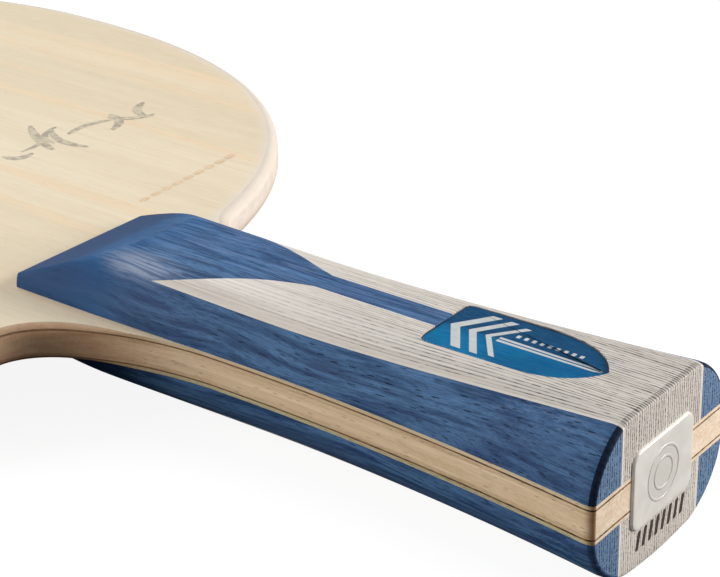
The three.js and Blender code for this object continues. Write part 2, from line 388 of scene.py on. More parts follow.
def tan_wood(name, light, dark, end=False):
    """The core, and the sides of the veneers: lines of grain, paler where the head's rim is sealed,
    which also paints its highlight.

    The sides are painted a shaded brown where they turn round to the handle's end, and painted darker
    towards the wing as shade.
    """
    look = Look(name, roughness=0.6, Specular_IOR_Level=0.3)
    broad = look.noise(look.stretched(2.2 * MM, 70 * MM, 1.1 * MM), detail=3, distortion=0.4)
    lines = look.noise(look.stretched(0.35 * MM, 14 * MM, 0.28 * MM), detail=3)
    specks = look.noise(look.stretched(0.14 * MM, 1.2 * MM, 0.14 * MM), detail=2)
    pores = look.cells(look.stretched(0.42 * MM, 3.2 * MM, 0.42 * MM))
    stain = look.noise(look.stretched(3 * MM, 9 * MM, 2 * MM), detail=2)
    tone = look.mix(look.ramp(broad, 0.3, 0.7), dark, light)
    tone = look.mix(look.ramp(lines, 0.35, 0.72, 0.0, 0.65), tone, dark)
    tone = look.mix(look.ramp(specks, 0.3, 0.7, 0.35, 0.0), tone, srgb(236, 218, 188))
    tone = look.mix(look.ramp(stain, 0.66, 0.8, 0.0, 0.35), tone, srgb(128, 132, 110))
    tone = look.mix(look.ramp(pores, 0.08, 0.2, 0.6, 0.0), tone, srgb(122, 90, 58))
    y, z = look.axes()[1:]
    # Painted shade: the plies' sides darker and redder towards the wing, which lies in the handle's
    # shadow.
    wing = look.ramp(y, SHOULDER_Y - 34 * MM, SHOULDER_Y - 16 * MM, 0.0, 0.58)
    tone = look.mix(wing, tone, srgb(172, 120, 84))
    if end:
        flecks = look.noise(look.stretched(0.16 * MM, 1 * MM, 0.5 * MM), detail=2)
        tone = look.mix(look.ramp(flecks, 0.56, 0.66, 0.0, 0.55), tone, srgb(196, 142, 92))
    else:
        # Painted shade: brown where the sides turn round the butt's rounded edge.
        tone = look.mix(look.ramp(y, BUTT_Y, BUTT_Y + SHADED_EDGE_LENGTH, 0.8, 0.0), tone, srgb(134, 88, 40))
    rim_tone_and_light = look.mix(look.ramp(broad, 0.3, 0.7), srgb(209, 195, 181), srgb(215, 205, 195))
    # Painted shade: the rim darker towards the back face.
    rim_tone_and_light = look.mix(look.ramp(z, -2.6 * MM, 0.2 * MM, 0.9, 0.0), rim_tone_and_light, srgb(188, 169, 147))
    # Painted highlight: the rim paler on its front rounding.
    rim_tone_and_light = look.mix(look.ramp(z, 0.8 * MM, 2.5 * MM, 0.0, 0.7), rim_tone_and_light, srgb(216, 205, 190))
    look.colour(look.mix(look.sealed_and_lit_rim(), tone, rim_tone_and_light))
    look.bump(look.math("ADD", specks, look.ramp(pores, 0.05, 0.2, -0.8, 0.0)), 0.03 * MM, 0.7)
    return look.material


def fibre_resin():
    """Dark on the handle, and paler on the head's rim, where it is sanded and sealed; there it is also
    painted paler on the front and darker on the back, as light and shade.
    """
    look = Look("fibre_resin", roughness=0.5, Specular_IOR_Level=0.3)
    weave = look.noise(look.stretched(0.6 * MM, 1.6 * MM, 0.6 * MM), detail=3)
    near_butt = look.ramp(look.axes()[1], BUTT_Y, SHOULDER_Y - 40 * MM, 1.0, 0.0)
    dark = look.mix(near_butt, srgb(122, 92, 66), srgb(60, 42, 26))
    tone = look.mix(look.ramp(weave, 0.4, 0.6), dark, srgb(132, 104, 72))
    # Painted light on the rim: paler on the front fibre layer, darker on the back one.
    height = look.ramp(look.axes()[2], -1 * MM, 1 * MM)
    rim_tone_and_light = look.mix(height, srgb(190, 169, 146), srgb(212, 201, 187))
    look.colour(look.mix(look.sealed_and_lit_rim(), tone, rim_tone_and_light))
    return look.material


def blue_wear_and_highlight(look, tone, behind_bevel):
    """Faint sanding scratches near the handle's top, which also paint the sheen along its upper
    rounding, and a painted highlight on its left crest, broken up like wear.
    """
    scratches = look.noise(look.wavy(0.3 * MM, 13 * MM, 0.4 * MM), detail=3)
    off_middle = look.math("ABSOLUTE", look.axes()[2])
    height = look.ramp(off_middle, HANDLE_TOP - 3.6 * MM, HANDLE_TOP - 1.2 * MM)
    # The scratches' band near the top is also a painted sheen along the upper rounding.
    sanded = look.math("MULTIPLY", look.ramp(scratches, 0.5, 0.6, 0.0, 0.3), height)
    tone = look.mix(look.math("MULTIPLY", sanded, behind_bevel), tone, srgb(130, 152, 192))
    # Painted highlight on the left crest, broken up by the scratches.
    crest_middle = (-8.6 * MM, SHOULDER_Y - 21 * MM, HANDLE_TOP - 1.6 * MM)
    crest = look.patch(crest_middle, (3.4 * MM, 8.5 * MM, 2.2 * MM), 0.1, 1.2)
    wear_and_highlight = look.math("MULTIPLY", crest, look.ramp(scratches, 0.4, 0.58, 0.3, 1.0))
    return look.mix(wear_and_highlight, tone, srgb(152, 165, 190))


def blue_painted_shade(look, tone):
    """Painted shade: darker low on the sides of the handle's front, and darkest there on the back scale.
    """
    y, z = look.axes()[1:]
    off_middle = look.math("ABSOLUTE", z)
    low_side = look.ramp(off_middle, HANDLE_TOP - 4 * MM, HANDLE_TOP - 1.5 * MM, 1.0, 0.0)
    low_front = look.math("MULTIPLY", low_side, look.ramp(y, SHOULDER_Y - 30 * MM, SHOULDER_Y - 4 * MM))
    tone = look.mix(look.math("MULTIPLY", low_front, 0.55), tone, srgb(34, 44, 80))
    under_front = look.math("MULTIPLY", low_front, look.ramp(z, -3.2 * MM, -2.4 * MM, 0.7, 0.0))
    return look.mix(under_front, tone, srgb(8, 10, 26))


def blue_end_grain(look, tone):
    """Paler on the butt's end, with dark broken lines between the layers."""
    beads = look.noise(look.stretched(0.22 * MM, 2.4 * MM, 0.3 * MM), detail=1)
    columns = look.ramp(look.lines(0.52 * MM, 0.25 * MM), 0.1, 0.24, 1.0, 0.0)
    tone = look.mix(0.62, tone, srgb(118, 140, 162))
    column_share = look.math("MULTIPLY", columns, look.ramp(beads, 0.4, 0.55))
    return look.mix(column_share, tone, srgb(24, 40, 76))


def blue_wood(name="blue_wood", painted_shade=0.0, end_grain=False):
    """Blue-dyed wood in thin layers across X, with open pores along a wavy grain."""
    look = Look(name, roughness=0.55, Specular_IOR_Level=0.07)
    y = look.axes()[1]
    layers = look.noise(look.stretched(0.5 * MM, 60 * MM, 16 * MM), detail=2, distortion=0.2)
    streaks = look.noise(look.wavy(0.9 * MM, 16 * MM, 0.8 * MM), detail=5)
    clouds = look.noise(look.stretched(7 * MM, 26 * MM, 6 * MM), detail=2)
    fibres = look.noise(look.wavy(0.16 * MM, 2.0 * MM, 0.16 * MM), detail=4, roughness=0.7)
    pores = look.cells(look.wavy(0.44 * MM, 4.2 * MM, 0.44 * MM))
    small_pores = look.cells(look.wavy(0.27 * MM, 1.5 * MM, 0.27 * MM))
    near_butt = look.ramp(y, BUTT_Y, SHOULDER_Y, 1.0, 0.35)
    tone = look.mix(look.ramp(streaks, 0.34, 0.66), srgb(46, 76, 114), srgb(86, 126, 170))
    tone = look.mix(look.ramp(clouds, 0.4, 0.65, 0.0, 0.45), tone, srgb(60, 84, 126))
    tone = look.mix(look.ramp(layers, 0.52, 0.66, 0.0, 0.25), tone, srgb(88, 122, 160))
    # Painted light: the front of the handle takes a brighter azure tone, standing in for the cool back
    # light that the bevel reflects.
    bevel = look.ramp(y, SHOULDER_Y - 24 * MM, SHOULDER_Y - 13 * MM, 0.0, 0.8)
    tone = look.mix(bevel, tone, srgb(36, 92, 144))
    behind_bevel = look.math("SUBTRACT", 1.0, bevel)
    fibre_share = look.math("MULTIPLY", look.ramp(fibres, 0.34, 0.56, 0.5, 0.0), behind_bevel)
    tone = look.mix(fibre_share, tone, srgb(22, 38, 78))
    tone = blue_painted_shade(look, blue_wear_and_highlight(look, tone, behind_bevel))
    if end_grain:
        tone = blue_end_grain(look, tone)
    crowding = look.math("MULTIPLY", look.ramp(clouds, 0.3, 0.55, 1.0, 0.6), near_butt)
    small_share = look.math("MULTIPLY", look.ramp(small_pores, 0.1, 0.2, 0.6, 0.0), crowding)
    pore_share = look.math("MULTIPLY", look.ramp(pores, 0.16, 0.2, 1.0, 0.0), crowding)
    tone = look.mix(small_share, tone, srgb(12, 24, 56))
    tone = look.mix(pore_share, tone, srgb(6, 10, 26))
    # Painted shade for the copies used on the butt's rounded edge.
    if painted_shade:
        tone = look.mix(painted_shade, tone, srgb(12, 16, 32))
    look.colour(tone)
    look.roughness(look.ramp(fibres, 0.3, 0.7, 0.44, 0.56))
    dents = look.math("MULTIPLY", pore_share, -1.8)
    dents = look.math("ADD", dents, look.math("MULTIPLY", small_share, -0.8))
    look.bump(look.math("ADD", fibres, dents), 0.06 * MM, 1.0)
    return look.material


def grey_wood(name="grey_wood", edge=False, end=False):
    """Grey wood built up from half-millimetre layers across X, with dark broken lines between them."""
    look = Look(name, roughness=0.5)
    tints = look.noise(look.stretched(0.6 * MM, 120 * MM, 60 * MM), detail=2)
    fine = look.noise(look.stretched(0.15 * MM, 24 * MM, 5 * MM), detail=2)
    cloud = look.noise(look.stretched(5 * MM, 40 * MM, 8 * MM), detail=2)
    breaks = look.noise(look.stretched(0.45 * MM, 5 * MM, 0.9 * MM), detail=2)
    beads = look.noise(look.stretched(0.25 * MM, 1.6 * MM, 0.35 * MM), detail=1)
    gaps = look.lines(0.5 * MM, 0.22 * MM)
    x, y, z = look.axes()
    near_butt = look.ramp(y, BUTT_Y, SHOULDER_Y - 30 * MM, 1.0, 0.12)
    tone = look.mix(look.ramp(cloud, 0.3, 0.7), srgb(228, 219, 208), srgb(238, 230, 220))
    tone = look.mix(look.math("MULTIPLY", near_butt, 0.55), tone, srgb(196, 190, 182))
    tone = look.mix(look.ramp(tints, 0.4, 0.6, 0.5, 0.0), tone, srgb(200, 191, 181))
    tone = look.mix(look.ramp(fine, 0.32, 0.55, 0.4, 0.0), tone, srgb(162, 152, 142))
    line = look.math("MULTIPLY", look.ramp(gaps, 0.09, 0.24, 1.0, 0.0), near_butt)
    strength = look.math("MULTIPLY", line, look.ramp(breaks, 0.36, 0.58, 0.25, 0.95))
    if edge:
        # Painted shade: darker over the butt's rounded edge; the stronger seams are the wood's own.
        tone = look.mix(0.3, tone, srgb(124, 118, 112))
        seam = look.ramp(gaps, 0.16, 0.36, 1.0, 0.0)
        strength = look.math("MULTIPLY", seam, look.ramp(beads, 0.3, 0.5, 0.4, 1.0))
    if end:
        # The end grain is darker overall; the darkening and the lines both ease towards the bottom, a
        # painted light that brightens the lower end.
        tone = look.mix(look.ramp(z, -HANDLE_TOP, HANDLE_TOP, 0.05, 0.2), tone, srgb(122, 117, 112))
        seam = look.ramp(gaps, 0.12, 0.28, 1.0, 0.0)
        strength = look.math("MULTIPLY", seam, look.ramp(beads, 0.36, 0.54, 0.35, 1.0))
        strength = look.math("MULTIPLY", strength, look.ramp(z, -HANDLE_TOP, 0.0, 0.55, 1.0))
    tone = look.mix(look.math("MULTIPLY", strength, 0.78), tone, srgb(84, 78, 74))
    dots = look.math("MULTIPLY", line, look.ramp(beads, 0.52, 0.62))
    tone = look.mix(look.math("MULTIPLY", dots, 0.85), tone, srgb(52, 46, 46))
    # Paler along the seam with the strips: a pale edge line, which also paints the seam's highlight.
    off_middle = look.math("ABSOLUTE", x)
    rim = look.ramp(off_middle, CENTRE_HALF_WIDTH - 0.6 * MM, CENTRE_HALF_WIDTH - 0.3 * MM, 0.0, 0.7)
    look.colour(look.mix(rim, tone, srgb(222, 214, 202)))
    look.roughness(look.ramp(fine, 0.3, 0.7, 0.6, 0.45))
    look.bump(look.math("ADD", fine, look.math("MULTIPLY", strength, -1.2)), 0.03 * MM, 0.7)
    return look.material


def blue_foil():
    """Satin blue print: bright on the left half, darker on the right."""
    look = Look("blue_foil", roughness=0.4, Specular_IOR_Level=0.06)
    x = look.axes()[0]
    grain = look.noise(look.stretched(0.08 * MM, 3 * MM, 1 * MM), detail=2)
    glow = look.noise(look.stretched(5 * MM, 14 * MM, 5 * MM), detail=1)
    left = look.mix(look.ramp(glow, 0.35, 0.65), srgb(0, 98, 150), srgb(0, 122, 176))
    tone = look.mix(look.ramp(x, -0.3 * MM, 0.3 * MM), left, srgb(18, 76, 122))
    look.colour(look.mix(look.ramp(grain, 0.3, 0.7, 0.0, 0.15), tone, srgb(40, 150, 196)))
    look.roughness(look.ramp(grain, 0.3, 0.7, 0.24, 0.36))
    return look.material


def silver_print():
    look = Look("silver_print", roughness=0.4)
    grain = look.noise(look.stretched(0.1 * MM, 2 * MM, 1 * MM), detail=2)
    look.colour(look.mix(look.ramp(grain, 0.3, 0.7), srgb(222, 222, 216), srgb(240, 240, 234)))
    return look.material


def navy_edge_shade():
    look = Look("navy_edge_shade", roughness=0.35, metallic=0.3)
    grain = look.noise(look.stretched(0.1 * MM, 2 * MM, 1 * MM), detail=2)
    look.colour(look.mix(look.ramp(grain, 0.3, 0.7), srgb(14, 40, 70), srgb(26, 60, 96)))
    return look.material


def clear_lens():
    look = Look("clear_lens", roughness=0.03, Transmission_Weight=1.0, IOR=1.1)
    ripple = look.noise(look.stretched(4 * MM, 6 * MM, 4 * MM), detail=1)
    look.colour(srgb(253, 254, 255))
    look.bump(ripple, 0.02 * MM, 0.2)
    return look.material


BADGE_DISC_RADIUS = 3.7 * MM


def badge_plastic():
    look = Look("badge_plastic", roughness=0.32, Subsurface_Weight=0.2, Coat_Weight=0.3,
                Coat_Roughness=0.15)
    look.shader.inputs["Subsurface Scale"].default_value = 1.0 * MM
    look.shader.inputs["Subsurface Radius"].default_value = (1.0, 0.9, 0.8)
    cloud = look.noise(look.stretched(3 * MM, 3 * MM, 3 * MM), detail=2)
    grain = look.noise(look.stretched(0.12 * MM, 0.12 * MM, 0.12 * MM), detail=1)
    tone = look.mix(look.ramp(cloud, 0.3, 0.7), srgb(206, 202, 194), srgb(216, 212, 205))
    disc = look.patch((0, BUTT_Y, 0), (BADGE_DISC_RADIUS, 40 * MM, BADGE_DISC_RADIUS), 0.98, 1.02)
    tone = look.mix(look.math("MULTIPLY", disc, 0.6), tone, srgb(194, 190, 182))
    y = look.axes()[1]
    # Painted highlight: the badge's rounded edge near white.
    side = look.ramp(y, badge_low[1] + 0.08 * MM, badge_low[1] + 0.2 * MM)
    look.colour(look.mix(side, tone, srgb(252, 250, 240)))
    look.bump(grain, 0.01 * MM, 0.3)
    return look.material


def burned_mark():
    look = Look("burned_mark", roughness=0.8)
    char = look.noise(look.stretched(0.3 * MM, 0.3 * MM, 0.3 * MM), detail=3)
    look.colour(look.mix(look.ramp(char, 0.3, 0.7), srgb(24, 18, 14), srgb(58, 42, 30)))
    return look.material


def ink(name, thin, full):
    look = Look(name, roughness=0.6)
    flow = look.noise(look.stretched(1.2 * MM, 1.2 * MM, 1.2 * MM), detail=3)
    look.colour(look.mix(look.ramp(flow, 0.35, 0.65), thin, full))
    return look.material


def pale_floor():
    """A white floor with a faint shadow, which throws little light back up at the object."""
    look = Look("pale_floor", roughness=0.9)
    seen = look.tree.nodes.new("ShaderNodeLightPath").outputs["Is Camera Ray"]
    look.colour(look.mix(seen, srgb(110, 110, 110), srgb(120, 120, 120)))
    look.shader.inputs["Specular IOR Level"].default_value = 0.0
    look.shader.inputs["Emission Color"].default_value = (1, 1, 1, 1)
    look.link(look.math("MULTIPLY", seen, 0.9), look.shader.inputs["Emission Strength"])
    return look.material


# ---- the blade's outline ----
def handle_half_width(along):
    flare = np.clip(1 - along / WAIST_ALONG, 0, 1) ** FLARE_EXPONENT
    swell = smoothstep((along - WAIST_ALONG) / (SWELL_SHARE * (GRIP - WAIST_ALONG)))
    wider_butt = (BUTT_HALF_WIDTH - WAIST_HALF_WIDTH) * flare
    wider_front = (FRONT_HALF_WIDTH - WAIST_HALF_WIDTH) * swell
    return WAIST_HALF_WIDTH + wider_butt + wider_front


def blade_side():
    """The right side of the blade, from the butt round to the head's tip."""
    widest_y = SHOULDER_Y + WIDEST_FROM_SHOULDER
    wing_x = 25 * MM
    neck_along = 63.7 * MM

    along = np.concatenate([EDGE_STATIONS, np.linspace(FIRST_PLAIN_STATION, neck_along, 60)])
    half_width = handle_half_width(along) - CHAMFER_ACROSS * edge_rounding(along)
    grip = np.column_stack([half_width, BUTT_Y + along])

    wing_angle = math.acos((wing_x / HEAD_HALF_WIDTH) ** (LOWER_EXPONENT / 2))
    angle = np.linspace(wing_angle, 0, 90)
    lower_x = HEAD_HALF_WIDTH * np.cos(angle) ** (2 / LOWER_EXPONENT)
    lower_y = widest_y - LOWER_DEPTH * np.sin(angle) ** (2 / LOWER_EXPONENT)
    lower = np.column_stack([lower_x, lower_y])

    waist_pull = (13.9 * MM, SHOULDER_Y - 18.7 * MM)
    shoulder_pull = (20.3 * MM, SHOULDER_Y - 10.3 * MM)
    neck = bezier([grip[-1], waist_pull, shoulder_pull, lower[0]], 44)

    angle = np.linspace(0, math.pi / 2, 90)
    upper_x = HEAD_HALF_WIDTH * np.maximum(np.cos(angle), 0) ** (2 / UPPER_EXPONENT)
    upper_y = widest_y + (TIP_Y - widest_y) * np.sin(angle) ** (2 / UPPER_EXPONENT)
    upper = np.column_stack([upper_x, upper_y])
    return np.concatenate([grip, neck[1:], lower[1:], upper[1:]])


def blade_outline():
    side = blade_side()
    return np.concatenate([side, mirror_x(side)[1:]])


def outward_normals(outline):
    step = np.roll(outline, -1, axis=0) - np.roll(outline, 1, axis=0)
    normals = np.column_stack([step[:, 1], -step[:, 0]])
    return normals / np.linalg.norm(normals, axis=1)[:, None]


# ---- plies ----
RIM_ROUNDING = 1.7 * MM
FLAT_MARGIN = 0.5 * MM


def rim_inset(outline, z):
    """How far the sanded rim of the head lies inside the outline at a height."""
    radius = RIM_ROUNDING * smoothstep((outline[:, 1] - SHOULDER_Y + 26 * MM) / (16 * MM))
    over = np.clip(abs(z) - (BAND_TOP - radius), 0, radius)
    return radius - np.sqrt(np.maximum(radius ** 2 - over ** 2, 0))


def ply_levels(low, high):
    """Heights for a ply's rings, closer together where the rim is rounded."""
    rounded = max(abs(low), abs(high)) > BAND_TOP - RIM_ROUNDING
    count = max(2, math.ceil((high - low) / (0.07 * MM)) + 1) if rounded else 2
    return np.linspace(low, high, count)


def ply_slots(face_count, around):
    """Slot 1 for a ply's flat faces and their margins, 2 for its butt end and 0 for its side."""
    last_row = (face_count - 2) // around - 1
    slots = []
    for number in range(face_count):
        row, place = divmod(number - 1, around)
        if row <= 0 or row >= last_row:
            slots.append(1)
        elif place == around - 1:
            slots.append(2)
        else:
            slots.append(0)
    return slots


def make_ply(node, side_material, face_material, end_material):
    """One ply over the whole outline, with a flat margin inside each of its two edges."""
    low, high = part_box(node)
    outline = blade_outline()
    normals = outward_normals(outline)
    rings = []
    for z in ply_levels(low[2], high[2]):
        points = outline - normals * rim_inset(outline, z)[:, None]
        rings.append(at_height(points, z))
    margin = at_height(normals * FLAT_MARGIN, 0)
    vertices, faces = loft([rings[0] - margin, *rings, rings[-1] - margin])
    slots = ply_slots(len(faces), len(outline))
    piece = make_object(node, vertices, faces, [side_material, face_material, end_material], slots)
    stand_for(piece, node)
    return piece


# ---- scales ----
def corner_width(along):
    return CORNER_AT_BUTT + (CORNER_AT_WAIST - CORNER_AT_BUTT) * np.clip(along / WAIST_ALONG, 0, 1)


def rounding(distance, radius):
    """How far a rounded edge falls short, at a distance inside it."""
    inside = np.clip(radius - distance, 0, radius)
    return radius - np.sqrt(radius ** 2 - inside ** 2)


def edge_rounding(along):
    """The butt's rounded edge, from 1 at the end face to 0 where it runs out on the side."""
    share = np.clip(1 - along / CHAMFER_ALONG, 0, 1)
    return 1 - np.sqrt(1 - share ** 2)


def side_x(along):
    """The handle's half width with its rounded butt edge and its rounded front corners."""
    chamfer = CHAMFER_ACROSS * edge_rounding(along)
    front = rounding(GRIP - along, FRONT_CORNER_RADIUS)
    return handle_half_width(along) - chamfer - front


def top_limit(along, x):
    """The height that the bevel and the front edge leave."""
    slope = (HANDLE_TOP - BAND_TOP - BLUNT_EDGE) / BEVEL_LENGTH
    bevel = BAND_TOP + BLUNT_EDGE + slope * (GRIP - along) - BEVEL_TILT * x
    return bevel - rounding(GRIP - along, FRONT_EDGE_RADIUS)


def butt_drop(along):
    return CHAMFER_ON_TOP * edge_rounding(along)


def surface_height(along, x, crown=0.0):
    """The height of the handle's surface at a distance from the butt and from the middle."""
    width = side_x(along)
    corner = corner_width(along)
    share = np.clip((np.abs(x) - (width - corner)) / corner, 0, 1)
    height = HANDLE_TOP - BAND_TOP - butt_drop(along)
    section = BAND_TOP + height * (1 - share ** CORNER_EXPONENT) ** (1 / CORNER_EXPONENT)
    section += crown * (1 - np.clip(np.abs(x) / BACK_CROWN_HALF_WIDTH, 0, 1) ** 2) ** 2
    return np.maximum(smooth_min(section, top_limit(along, x), CREST_BLEND), BAND_TOP)


def stations():
    bevel_start = GRIP - BEVEL_LENGTH - 2 * MM
    grip = np.arange(FIRST_PLAIN_STATION, bevel_start, 1 * MM)
    bevel = np.arange(bevel_start, GRIP - 1 * MM, 0.4 * MM)
    front = GRIP - np.array([0.8, 0.6, 0.45, 0.32, 0.2, 0.12, 0.05, 0]) * MM
    return np.concatenate([EDGE_STATIONS, grip, bevel, front])


def strip_solid(sign, crown):
    """One side strip: its outer surface, its flat underside and its flat seam."""
    steps = 36
    rings = []
    for along in stations():
        width = side_x(along)
        corner = corner_width(along)
        seam_share = (CENTRE_HALF_WIDTH - (width - corner)) / corner
        seam_angle = math.acos(seam_share ** (CORNER_EXPONENT / 2))
        angle = np.linspace(0, seam_angle, steps)
        x = width - corner + corner * np.cos(angle) ** (2 / CORNER_EXPONENT)
        x[-1] = CENTRE_HALF_WIDTH
        z = surface_height(along, sign * x, crown)
        z[0] = BAND_TOP
        x = np.append(x, CENTRE_HALF_WIDTH)
        z = np.append(z, BAND_TOP)
        y = np.full(len(x), BUTT_Y + along)
        ring = np.column_stack([sign * x, y, z])
        rings.append(ring if sign < 0 else ring[::-1])
    return loft(rings)


def centre_solid(crown):
    """The middle of a scale, before it is parted into its nose inlay and its centre block."""
    points_across = 53
    across = np.linspace(-CENTRE_HALF_WIDTH, CENTRE_HALF_WIDTH, points_across)
    rings = []
    for along in stations():
        z = surface_height(along, across, crown)
        x = np.concatenate([across, [CENTRE_HALF_WIDTH, -CENTRE_HALF_WIDTH]])
        z = np.concatenate([z, [BAND_TOP, BAND_TOP]])
        y = np.full(len(x), BUTT_Y + along)
        rings.append(np.column_stack([x, y, z]))
    return loft(rings)


def nose_outline():
    """The nose with its stem, a little longer than the scale at the front."""
    ahead = 5 * MM
    curve = bezier(
        [
            (CENTRE_HALF_WIDTH, SHOULDER_Y - WEDGE_TIP_PAST),
            (7.45 * MM, SHOULDER_Y - 32.5 * MM),
            (3.9 * MM, SHOULDER_Y - 39.5 * MM),
            (STEM_HALF_WIDTH, SHOULDER_Y - WEDGE_END_PAST),
        ],
        40,
    )
    outside = CENTRE_HALF_WIDTH + 1 * MM
    front = np.array([[outside, SHOULDER_Y + ahead], [outside, SHOULDER_Y - WEDGE_TIP_PAST]])
    stem = np.array([[STEM_HALF_WIDTH, STEM_END_Y]])
    right = np.concatenate([front, curve, stem])
    return np.concatenate([right, mirror_x(right)])[::-1]


def medallion_outline(inset=0.0):
    corner_radius = 1.3 * MM
    inner = MEDALLION_HALF_WIDTH - corner_radius
    angle = np.linspace(math.pi / 2, 0, 10)
    corner_x = inner + corner_radius * np.cos(angle)
    corner_y = MEDALLION_FRONT_Y - corner_radius + corner_radius * np.sin(angle)
    arch = bezier(
        [
            (MEDALLION_HALF_WIDTH, SHOULDER_Y - 80 * MM),
            (MEDALLION_HALF_WIDTH, SHOULDER_Y - 86.5 * MM),
            (4 * MM, SHOULDER_Y - 90 * MM),
            (0, MEDALLION_TIP_Y),
        ],
        28,
    )
    right = np.concatenate([np.column_stack([corner_x, corner_y]), arch])
    outline = np.concatenate([right, mirror_x(right)[1:]])[::-1]
    return outline - outward_normals(outline) * inset


def edge_slots(faces, ring):
    """Slot 1 for a loft's faces in the butt's rounded edge, whose materials are painted with shade, 2
    for its butt end and 0 for the rest.
    """
    slots = [0] * len(faces)
    slots[0] = 2
    for number in range(1, 1 + SHADED_EDGE_ROWS * ring):
        slots[number] = 1
    return slots


def make_scale(side, blues, greys):
    flip = side == "back"
    crown = BACK_CROWN if flip else 0.0
    for name, sign in (("left_strip", -1), ("right_strip", 1)):
        vertices, faces = strip_solid(sign, crown)
        slots = edge_slots(faces, len(vertices) // len(stations()))
        if flip:
            vertices, faces = turned_over(vertices, faces)
        node = f"{side}_{name}"
        piece = make_object(node, vertices, faces, blues, slots)
        stand_for(piece, node)

    centre_vertices, centre_faces = centre_solid(crown)
    slots = edge_slots(centre_faces, len(centre_vertices) // len(stations()))
    nose_prism = prism(nose_outline(), 0, 2 * HANDLE_TOP)
    recess = prism(medallion_outline(), RECESS_FLOOR, 2 * HANDLE_TOP)
    block_cuts = [(nose_prism, "DIFFERENCE"), (recess, "DIFFERENCE")]
    parts = (
        ("nose_inlay", blues, "blue_wood", [(nose_prism, "INTERSECT")]),
        ("centre_block", greys, "grey_striped_wood", block_cuts),
    )
    for name, materials, slot, cuts in parts:
        node = f"{side}_{name}"
        piece = make_object(node, centre_vertices, centre_faces, materials, slots)
        for (vertices, faces), operation in cuts:
            if flip and vertices is recess[0]:
                continue
            combine(piece, vertices, faces, operation)
        if flip:
            piece.data.transform(Matrix.Scale(-1, 4, (0, 0, 1)))
            piece.data.flip_normals()
            finish_mesh(piece.data)
        stand_for(piece, node)


# ---- medallion ----
PRINT_THICKNESS = 0.03 * MM


def add_print(name, outlines, material):
    """Flat printed shapes on the foil, in one piece."""
    solids = [prism(outline, FOIL_TOP, FOIL_TOP + PRINT_THICKNESS) for outline in outlines]
    piece = make_object(name, *joined(solids), [material])
    add_trim(piece)


def anticlockwise(points):
    points = np.array(points, float)
    x, y = points.T
    area = np.sum(x * np.roll(y, -1) - np.roll(x, -1) * y)
    return points if area > 0 else points[::-1]


def chevron(apex_y, reach, drop, width):
    """A V across the medallion with its point towards the head."""
    return [
        anticlockwise([
            (0, apex_y),
            (side * reach, apex_y - drop),
            (side * reach, apex_y - drop - width),
            (0, apex_y - width),
        ])
        for side in (-1, 1)
    ]


def silver_shapes():
    """Nested chevrons, a double line down the middle and a row of plain bars."""
    shapes = []
    for from_front, reach, width in ((1.1, 4.9, 1.5), (4.0, 4.9, 1.2), (6.6, 4.4, 0.9)):
        shapes += chevron(MEDALLION_FRONT_Y - from_front * MM, reach * MM, 3.4 * MM, width * MM)
    line_start = MEDALLION_FRONT_Y - 8.6 * MM
    line_end = MEDALLION_TIP_Y + 0.9 * MM
    for side in (-1, 1):
        shapes.append(anticlockwise([
            (side * 0.14 * MM, line_start),
            (side * 0.6 * MM, line_start),
            (side * 0.5 * MM, line_end + 1.2 * MM),
            (side * 0.14 * MM, line_end),
        ]))
    bars = 9
    bar_left = 1.6 * MM
    bar_right = 2.3 * MM
    bar_width = 0.55 * MM
    for i in range(bars):
        y = MEDALLION_FRONT_Y - (10.2 + 1.2 * i) * MM
        shapes.append(anticlockwise([
            (bar_left, y),
            (bar_right, y),
            (bar_right, y - bar_width),
            (bar_left, y - bar_width),
        ]))
    return shapes


def border_shape():
    """A navy band just inside the medallion's outline, painted as the shade in the gap round the lens,
    as quads between two outlines.
    """
    outer = medallion_outline(0.03 * MM)
    inner = medallion_outline(0.22 * MM)
    count = len(outer)
    vertices = []
    for outline in (outer, inner):
        for z in (FOIL_TOP, FOIL_TOP + 0.6 * PRINT_THICKNESS):
            vertices.append(at_height(outline, z))
    faces = []
    order = (0, 1, 3, 2)
    for i in range(count):
        j = (i + 1) % count
        for k in range(4):
            a = order[k] * count
            b = order[(k + 1) % 4] * count
            faces.append((a + i, a + j, b + j, b + i))
    return np.concatenate(vertices), faces


def make_medallion():
    foil_solid = prism(medallion_outline(0.02 * MM), RECESS_FLOOR, FOIL_TOP)
    foil = make_object("medallion_foil", *foil_solid, [blue_foil()])
    stand_for(foil, "medallion_foil")
    border = make_object("medallion_border", *border_shape(), [navy_edge_shade()])
    add_trim(border)
    add_print("medallion_silver", silver_shapes(), silver_print())
    make_lens()


def make_lens():
    """The clear lens: its top follows the handle's surface, and its side is just inside the wood."""
    side_inset = -0.02
    sunk = 0.02
    rings = [at_height(medallion_outline(side_inset * MM), FOIL_TOP + 0.05 * MM)]
    for inset, fall in ((side_inset, 0.08), (0.06, 0.04), (0.16, 0.01), (0.4, 0.0), (1.2, 0.0)):
        outline = medallion_outline(inset * MM)
        surface = surface_height(outline[:, 1] - BUTT_Y, outline[:, 0])
        rings.append(at_height(outline, surface - (fall + sunk) * MM))
    vertices, faces = loft(rings)
    lens = make_object("medallion_lens", vertices, faces, [clear_lens()])
    stand_for(lens, "medallion_lens")


# ---- badge and marks on the butt ----
def rounded_rectangle(half_width, half_height, radius, steps=8):
    points = []
    for quarter, (sign_x, sign_z) in enumerate(((1, 1), (-1, 1), (-1, -1), (1, -1))):
        for angle in np.linspace(quarter, quarter + 1, steps + 1) * math.pi / 2:
            x = sign_x * (half_width - radius) + radius * math.cos(angle)
            z = sign_z * (half_height - radius) + radius * math.sin(angle)
            points.append((x, z))
    return np.array(points)


